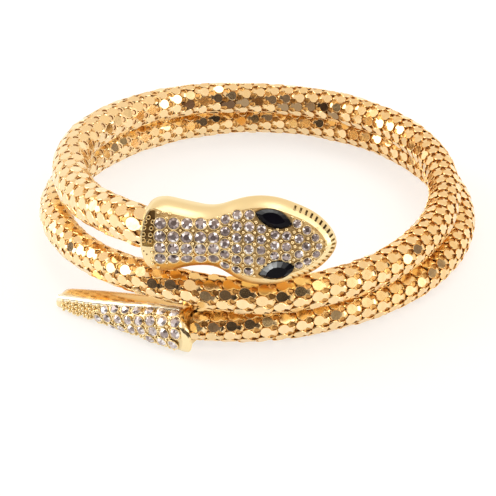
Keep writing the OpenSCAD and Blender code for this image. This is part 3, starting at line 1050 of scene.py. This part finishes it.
def ring_template(radius, wire, sides):
    """A small ring, its round wire spun about the z axis."""
    bm = bmesh.new()
    upright = Matrix.Translation((radius, 0, 0)) @ Matrix.Rotation(math.pi / 2, 4, "X")
    bmesh.ops.create_circle(bm, radius=wire, segments=RING_WIRE_SIDES, matrix=upright)
    bmesh.ops.spin(bm, geom=list(bm.verts) + list(bm.edges), cent=(0, 0, 0), axis=(0, 0, 1),
                   angle=2 * math.pi, steps=sides, use_merge=True)
    bmesh.ops.recalc_face_normals(bm, faces=bm.faces)
    smooth_all(bm)
    return as_mesh("ring_template", bm)


cup = ring_template(CUP_RADIUS, CUP_WIRE, CUP_SIDES)
print("one cup:", len(cup.polygons), "faces")

# %% [markdown]
# ## Foil and bead gold
# Real glass would throw light about inside the stone, which takes long to render and can't be carried by an
# exported model. Here each facet carries a glint, and a colour ramp turns it into a grey, lilac or white
# mirror, as such stones look at this size. Which facet has which glint can change from one run to the next,
# because Blender gives the facets in no fixed order. The cups and beads are bright, yellow gold.

# %% Crystal finish
GEM_LIFT = 0.10 * MM
GLINTS = ((0.0, colour(0.12, 0.085, 0.075)), (0.3, colour(0.27, 0.21, 0.20)), (0.6, colour(0.47, 0.39, 0.38)),
          (0.85, colour(0.74, 0.67, 0.68)), (1.0, colour(1.0, 0.98, 0.98)))
crystal = Finish("foiled_crystal")
crystal.shade({"Base Color": crystal.ramp(crystal.number("glint"), GLINTS), "Metallic": 0.6,
               "Roughness": 0.12, "Coat Weight": 0.35, "Coat Roughness": 0.02})
bead_gold = clouded("bead_gold", 420, 2, (colour(0.99, 0.83, 0.50), colour(0.94, 0.70, 0.34)), (0.2, 0.12))


def joined(name, template, places):
    bm = bmesh.new()
    for place in places:
        put(bm, template, place)
    return as_mesh(name, bm)


def lay_gems(name, stones, seat, seed, tables, tones):
    """Crystals in cups at (u, v, radius). A table's glint is in a range, a facet's is one of the tones."""
    dice = random.Random(seed)
    places = [seat_matrix(seat(u, v), GEM_LIFT, radius * MM, dice.uniform(0, math.pi / 4))
              for u, v, radius in stones]
    mesh = joined(name, gem, places)
    carry(mesh, "glint", [dice.uniform(*tables) if table else dice.choice(tones)
                          for _ in stones for table in gem_is_table])
    add_piece(name, mesh, crystal)
    add_piece(name + "_cups", joined(name + "_cups", cup, places), bead_gold)
    print(name, len(stones), "crystals")


print("crystal and bead gold ready")

# %% [markdown]
# ## Stones on the face
# On the neck the stones stand four abreast. Where the head widens there are six, and on the snout the
# rows bend round the curve and get smaller. The rows below give, for each place along the head, the stone
# radius and the places across, all in millimetres.

# %% Head crystals
NECK_ACROSS = (3.02, 0.98, -0.88, -2.62)
HEAD_ROWS = [(-18.0, 1.02, NECK_ACROSS), (-15.9, 1.02, NECK_ACROSS), (-13.8, 1.02, NECK_ACROSS),
             (-11.6, 1.02, NECK_ACROSS), (-9.5, 0.98, (3.04, 0.98, -0.72, -2.5)),
             (-7.7, 0.86, (3.79, 2.02, 0.15, -1.61, -3.65)),
             (-5.85, 0.86, (4.58, 2.90, 1.12, -0.66, -2.45, -4.28)),
             (-3.9, 0.86, (4.67, 2.90, 1.05, -0.70, -2.50, -4.42)),
             (-1.95, 0.80, (2.60, 0.92, -0.78, -2.55)), (0.2, 0.80, (1.75, 0.05, -1.65)),
             (2.05, 0.80, (1.62, -0.12, -1.83))]
SNOUT_STONES = [(3.65, 3.45, 0.76), (4.0, 1.2, 0.80), (4.05, -1.3, 0.80), (4.05, -3.2, 0.76),
                (5.2, 2.45, 0.78), (5.15, 0.0, 0.78), (5.4, -2.55, 0.78),
                (6.55, 1.3, 0.72), (6.75, -1.35, 0.72), (7.15, -0.05, 0.62)]
head_stones = [(x, y, radius) for x, radius, row in HEAD_ROWS for y in row] + SNOUT_STONES
lay_gems("head_crystals", head_stones, head_seat, seed=21, tables=(0.1, 0.65),
         tones=(0.05, 0.15, 0.3, 0.45, 0.7, 1.0))

# %% [markdown]
# ## Stones on the tail
# Four rows of stones run along the outside of the tail and get smaller toward its tip. A row stops where
# the skin turns under or where the granules begin. A stone is left out where it would touch the table.

# %% Tail crystals
ROW_GAP, FIRST_ROW = 1.85, 1.1
STONE_GAP = 2.3
# at the collar and at the last stones: radius, and what the rows' and the stones' gaps are multiplied by
STONE_RADII, ROW_SPREAD, STONE_SPREAD = (1.02, 0.82), (1.04, 0.86), (1.02, 0.9)
ALONG_WOBBLE, OVER_WOBBLE = 0.07, 0.05
ROW_STARTS = (1.9, 0.95, 0.3, 0.9)
TAIL_UNTIL = 17.3
SKIN_MARGIN = 1.0


def clear_of_table(x, over, room):
    """Whether a round thing of that radius in millimetres stays above the height the tail rests at."""
    return tail_seat(x, over)[0].z > room * MM


def tail_stones():
    dice = random.Random(5)
    stones = []
    for row, x in enumerate(ROW_STARTS):
        while x < TAIL_UNTIL:
            share = x / TAIL_UNTIL
            radius = mix(*STONE_RADII, share)
            over = FIRST_ROW + ROW_GAP * row * mix(*ROW_SPREAD, share)
            if over + radius < tail_skin(x)[-1][0] - SKIN_MARGIN and clear_of_table(x, over, radius):
                stones.append((x + dice.gauss(0, ALONG_WOBBLE), over + dice.gauss(0, OVER_WOBBLE), radius))
            x += STONE_GAP * mix(*STONE_SPREAD, share)
    return stones


lay_gems("tail_crystals", tail_stones(), tail_seat, seed=22, tables=(0.4, 0.9),
         tones=(0.3, 0.5, 0.7, 0.85, 1.0, 1.0))

# %% [markdown]
# ## Beads between the stones
# Each stone is held by small grains of gold raised from the ground round it. Their places aren't listed:
# a fine grid is laid over the paved field, the grid points furthest from every stone come first, and
# a grain goes in wherever no stone and no other grain is too near. That fills the gaps as a setter would.

# %% Bead template
BEAD, BEAD_SUNK = 0.32, 0.25
BEAD_GRID = 0.2
BEAD_SIZES = (0.85, 1.12)
BEADS_APART, LEAST_GAP, WIDEST_GAP = 0.66, 0.12, 0.62


def bead_template():
    bm = bmesh.new()
    bmesh.ops.create_uvsphere(bm, u_segments=8, v_segments=4, radius=1)
    smooth_all(bm)
    return as_mesh("bead_template", bm)


bead = bead_template()


def bead_spots(taken, low, high):
    """Places from low to high in the gaps between the round things in taken, the widest gaps first."""
    steps = [int((b - a) / BEAD_GRID) + 1 for a, b in zip(low, high)]
    rated = []
    for u, v in [(low[0] + BEAD_GRID * i, low[1] + BEAD_GRID * j)
                 for i in range(steps[0]) for j in range(steps[1])]:
        gap = min(math.hypot(u - x, v - y) - r for x, y, r in taken)
        if LEAST_GAP < gap < WIDEST_GAP:
            rated.append((-gap, u, v))
    chosen = []
    for _, u, v in sorted(rated):
        if all(math.hypot(u - x, v - y) > BEADS_APART for x, y in chosen):
            chosen.append((u, v))
    return chosen


def lay_beads(name, spots, seat, radius, seed):
    dice = random.Random(seed)
    places = [seat_matrix(seat(u, v), BEAD_SUNK * radius * MM, radius * MM * dice.uniform(*BEAD_SIZES), 0)
              for u, v in spots]
    add_piece(name, joined(name, bead, places), bead_gold)


print("one bead:", len(bead.polygons), "faces")

# %% [markdown]
# ## Beads on the face
# The eyes take room too, so each is covered with five circles. A bead goes only on the dome of the face,
# not on the border.

# %% Head beads
EYE_AT = {1: (-0.1, 4.2), -1: (0.6, -4.2)}
EYE_TURN = math.radians(16)
EYE_ROOM = ((-2.6, 0.75), (-1.4, 1.25), (0, 1.6), (1.4, 1.25), (2.6, 0.75))
DOME_FROM = -0.02 * MM
HEAD_FIELD = (-19.2, -6.2), (8.6, 6.2)


def eye_circles():
    """Circles that cover the two eyes, in head millimetres."""
    return [(x + t * math.cos(EYE_TURN), y - side * t * math.sin(EYE_TURN), r)
            for side, (x, y) in EYE_AT.items() for t, r in EYE_ROOM]


def on_dome(x, y):
    point = head_point(x, y)[0]
    return point is not None and (HEAD_PLACE.inverted() @ point).z > DOME_FROM


head_spots = bead_spots(head_stones + eye_circles(), *HEAD_FIELD)
lay_beads("head_beads", [place for place in head_spots if on_dome(*place)], head_seat, BEAD, seed=31)

# %% [markdown]
# ## Beads on the tail
# Between the tail's stones the beads go as on the face. Past the last stones the tip is covered with rows
# of close granules, each row set half a step over from the last.

# %% Tail beads
TAIL_FIELD = (0.9, 0.3), (17.2, 9.5)
FIELD_FROM, FIELD_LEAN = 1.2, 0.3
TAIL_BEAD_MARGIN, TAIL_BEAD_ROOM = 1.2, 0.5
GRANULE, GRANULE_GAP, GRANULE_ROOM, GRANULE_FIRST = 0.37, 0.84, 0.55, 0.5
GRANULES_FROM, GRANULES_UNTIL = 16.6, 25.2
ROW_SHARE = 0.87
STONE_MARGIN = 0.25
tail_taken = tail_stones()
tail_spots = [(u, v) for u, v in bead_spots(tail_taken, *TAIL_FIELD)
              if v < tail_skin(u)[-1][0] - TAIL_BEAD_MARGIN and u > FIELD_FROM - FIELD_LEAN * v
              and clear_of_table(u, v, TAIL_BEAD_ROOM)]
lay_beads("tail_beads", tail_spots, tail_seat, BEAD, seed=32)

granules = []
for k in range(int((GRANULES_UNTIL - GRANULES_FROM) / (ROW_SHARE * GRANULE_GAP))):
    x = GRANULES_FROM + ROW_SHARE * GRANULE_GAP * k
    over = GRANULE_FIRST + (k % 2) * GRANULE_GAP / 2
    while over < tail_skin(x)[-1][0] - SKIN_MARGIN:
        free = all(math.hypot(x - u, over - v) > r + STONE_MARGIN for u, v, r in tail_taken)
        if free and clear_of_table(x, over, GRANULE_ROOM):
            granules.append((x, over))
        over += GRANULE_GAP
lay_beads("tail_granules", granules, tail_seat, GRANULE, seed=33)

# %% [markdown]
# ## The ridge of the tail
# A polished ridge runs along the top of the tail. Its colour is painted almost white, a painted highlight.
# A tube swept along the ridge line and half sunk in the casting makes it.

# %% Tail ridge
RIDGE_RADIUS, RIDGE_SUNK, RIDGE_SIDES = 0.72 * MM, 0.25, 12
RIDGE_FROM, RIDGE_STEP, RIDGE_STEPS = 1.2, 0.8, 31
# near-white colour: a painted highlight on the polished ridge
ridge_gold = clouded("ridge_gold", 260, 3, (colour(1.0, 0.97, 0.84), colour(1.0, 0.92, 0.68)), (0.1, 0.1),
                     metallic=0.7)
ridge_points = [tail_seat(RIDGE_FROM + RIDGE_STEP * k, 0) for k in range(RIDGE_STEPS)]
ridge_mesh = swept_tube("tail_ridge", [p - RIDGE_SUNK * RIDGE_RADIUS * n for p, n, _ in ridge_points],
                        [RIDGE_RADIUS] * len(ridge_points), RIDGE_SIDES)
for polygon in ridge_mesh.polygons:
    polygon.use_smooth = True
add_piece("tail_ridge", ridge_mesh, ridge_gold)

# %% [markdown]
# ## Rings and pits on the neck
# The dark channel behind the rim holds two rows of small gold rings. Below it, five tiny pits dot the
# plain gold. A pit is a bead sunk to its middle and painted dark brown as painted shade, which at this size
# can't be told from a hole.

# %% Neck rings
RING_PLACES = ((-20.04, 3.69), (-20.58, 2.92), (-20.78, 1.93), (-20.86, 0.87), (-20.86, -0.10),
               (-19.32, 2.97), (-19.58, 1.90), (-19.72, 0.80), (-19.78, -0.25))
RING_RADIUS, RING_WIRE, RING_LIFT, RING_SIDES = 0.31, 0.17, 0.14, 12
DIMPLE_PLACES = ((-20.7, -1.7), (-20.2, -2.2), (-19.5, -1.7), (-18.9, -3.6), (-19.4, -2.8))
DIMPLE = 0.14 * MM
ring_at = [Matrix.Translation(HEAD_PLACE @ (Vector((x, y, CHANNEL_FLOOR + RING_LIFT)) * MM))
           @ HEAD_PLACE.to_3x3().to_4x4() @ Matrix.Scale(MM, 4) for x, y in RING_PLACES]
ring = ring_template(RING_RADIUS, RING_WIRE, RING_SIDES)
add_piece("neck_rings", joined("neck_rings", ring, ring_at), bead_gold)
dimple_at = [seat_matrix(head_seat(x, y), 0, DIMPLE, 0) for x, y in DIMPLE_PLACES]
dimple_mesh = joined("neck_dimples", bead, dimple_at)
# full depth gives the pits the darkest painted shade of the recess finish
carry(dimple_mesh, "hollow", [1.0] * len(dimple_mesh.polygons))
add_piece("neck_dimples", dimple_mesh, recess_brown)

# %% [markdown]
# ## The eyes
# Each eye is one black stone cut as a pointed oval, with a large table and a ring of crown facets. Two
# arcs make its outline: a vertex is spun along each. The ring is then extruded up to the table and down to
# the foot. In the photograph a few facets of the lower eye mirror a lamp. Each facet carries how squarely
# it faces that way, and the finish turns it grey.

# %% Eye shape
EYE_SIZE = {1: (6.1, 2.8), -1: (5.8, 3.3)}
EYE_CROWN, EYE_BASE, EYE_GIRDLE = 0.8, 0.7, 0.2
EYE_TABLE, EYE_FOOT = 0.62, 0.45
EYE_LIFT = 0.55
EYE_LIT = Vector((-0.25, 0.75, 0.62)).normalized()
EYE_FOCUS = 12
EYE_SHINE = {1: 0.18, -1: 1.0}
EYE_LEAN = math.radians(17)
EYE_STEPS = 7


def eye_outline(length, width):
    """A pointed oval of edges, from two arcs."""
    bm = bmesh.new()
    radius = (length ** 2 + width ** 2) / (4 * width)
    sweep = 2 * math.asin(length / 2 / radius)
    start = bm.verts.new((length / 2, 0, 0))
    for down in (1, -1):
        centre = (0, down * (width / 2 - radius), 0)
        spun = bmesh.ops.spin(bm, geom=[start], cent=centre, axis=(0, 0, 1), angle=sweep, steps=EYE_STEPS)
        start = of_kind(BMVert, spun["geom_last"])[0]
    bmesh.ops.remove_doubles(bm, verts=bm.verts, dist=0.01)
    return bm


def eye_mesh(name, side):
    bm = eye_outline(*EYE_SIZE[side])
    bmesh.ops.translate(bm, vec=(0, 0, EYE_GIRDLE / 2), verts=bm.verts)
    girdle = list(bm.edges)
    table = grown_ring(bm, girdle, EYE_TABLE, EYE_CROWN - EYE_GIRDLE / 2, 0)
    bmesh.ops.contextual_create(bm, geom=table)
    lower = grown_ring(bm, girdle, 1, -EYE_GIRDLE, 0)
    foot = grown_ring(bm, lower, EYE_FOOT, EYE_GIRDLE / 2 - EYE_BASE, 0)
    bmesh.ops.contextual_create(bm, geom=foot)
    bmesh.ops.recalc_face_normals(bm, faces=bm.faces)
    lit = [EYE_SHINE[side] * max(0.0, f.normal.dot(EYE_LIT)) ** EYE_FOCUS * (f.normal.z < 0.99)
           for f in bm.faces]
    turn = (Matrix.Translation(Vector((*EYE_AT[side], EYE_LIFT)) * MM)
            @ Matrix.Rotation(-side * EYE_LEAN, 4, "X") @ Matrix.Rotation(-side * EYE_TURN, 4, "Z"))
    bm.transform(HEAD_PLACE @ turn @ Matrix.Scale(MM, 4))
    mesh = as_mesh(name, bm)
    carry(mesh, "lit", lit)
    return mesh


print("eye lengths and widths in mm:", EYE_SIZE)

# %% Eye pieces
eye_glass = Finish("black_eye_glass")
cloud = eye_glass.noise(300, 1)
dark = eye_glass.blend(cloud, colour(0.002, 0.002, 0.003), colour(0.008, 0.007, 0.012))
eye_glass.shade({"Base Color": eye_glass.blend(eye_glass.number("lit"), dark, colour(0.62, 0.68, 0.72)),
                 "Roughness": cloud * 0.06 + 0.02, "Specular IOR Level": 0.08})
for name, side in (("upper_eye", 1), ("lower_eye", -1)):
    add_piece(name, eye_mesh(name, side), eye_glass, name + "_stone")
